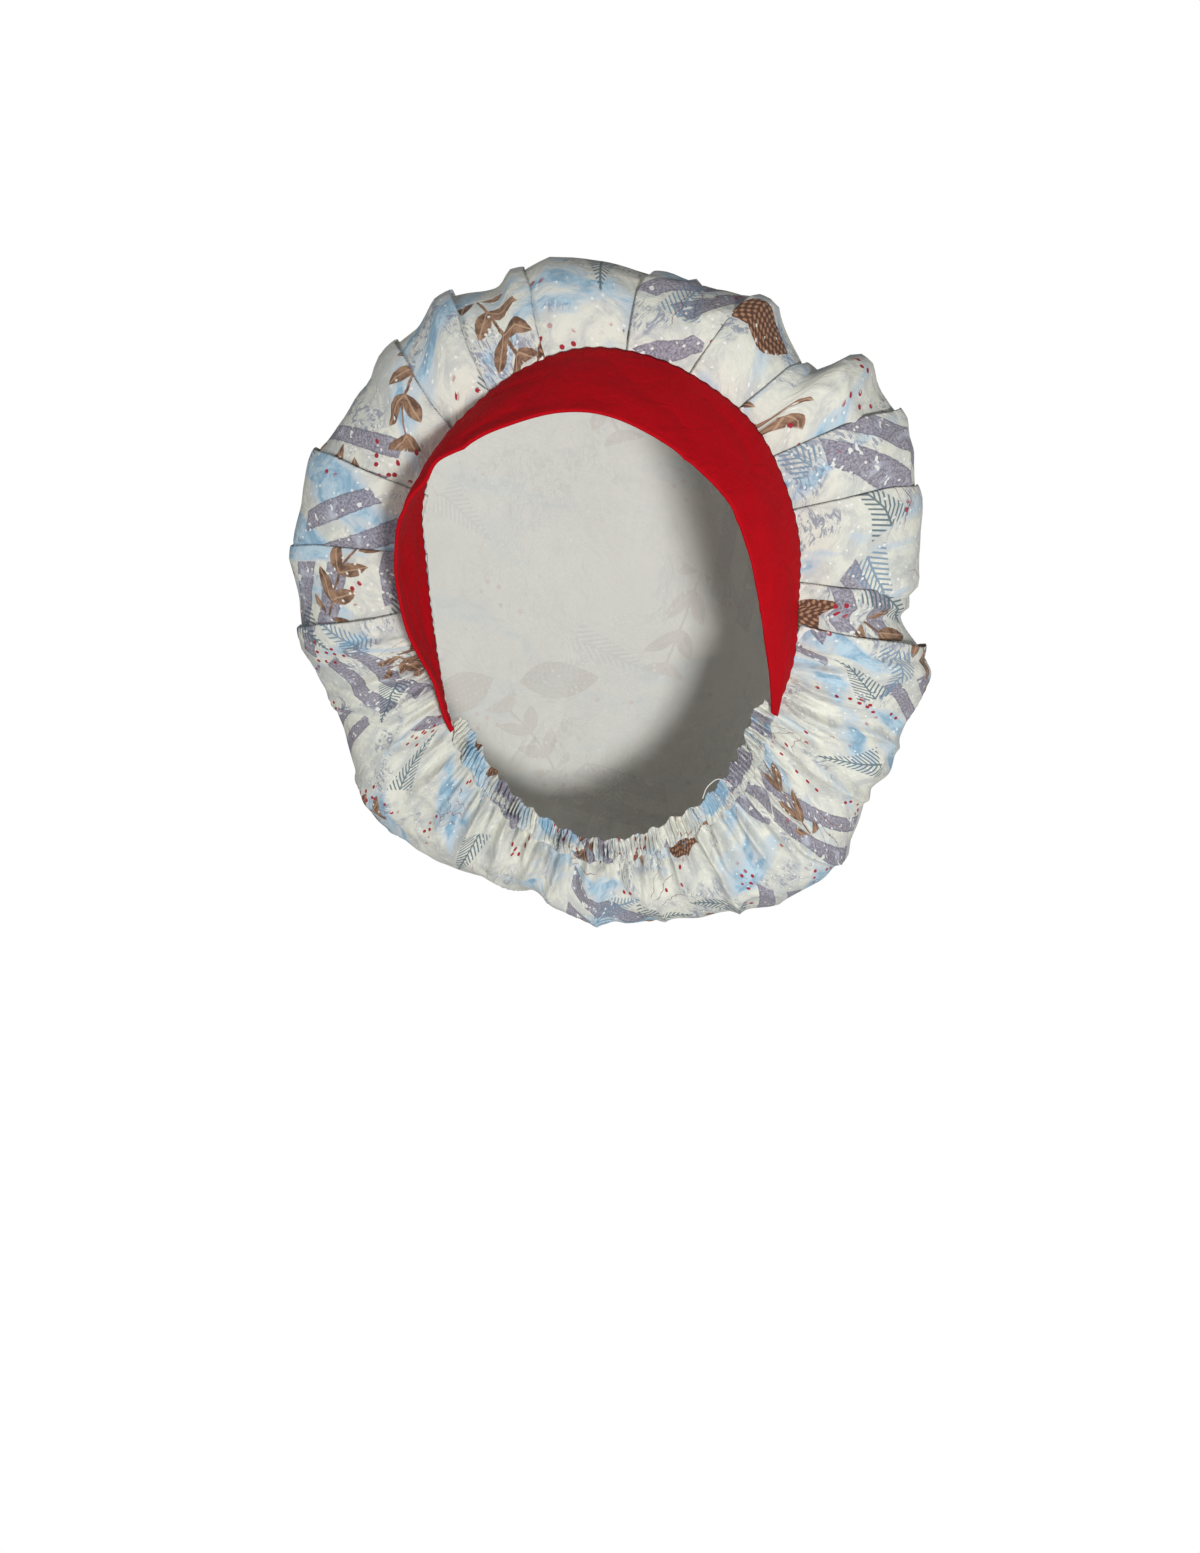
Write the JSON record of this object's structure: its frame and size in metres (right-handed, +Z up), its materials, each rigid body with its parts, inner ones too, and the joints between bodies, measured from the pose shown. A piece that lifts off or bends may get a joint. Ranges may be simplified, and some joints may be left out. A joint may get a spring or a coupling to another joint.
{
  "type": "scrub cap",
  "caption": "Bouffant surgical cap of printed cotton, pleated into a crescent headband, with an elasticated casing at the nape.",
  "frame": {"origin": "middle of the opening, in the plane of the seam between crown and band, where the head sits", "axes": "+Z up as the cap is worn on an upright head, forehead towards -Y, +X to the right seen from the front"},
  "size_m": [0.3177, 0.2612, 0.2827],
  "materials": {
    "printed_cotton": "matt printed quilting cotton, pale ground with a brushed winter print",
    "band_cotton": "matt red quilting cotton, doubled",
    "casing_cotton": "the crown's printed cotton, shirred on elastic"
  },
  "bodies": {
    "root": {"crown_nape_right": "printed_cotton", "crown_side_right": "printed_cotton", "crown_front_right": "printed_cotton", "crown_front_left": "printed_cotton", "crown_side_left": "printed_cotton", "crown_nape_left": "printed_cotton", "headband": "band_cotton", "nape_casing": "casing_cotton"}
  },
  "joints": []
}
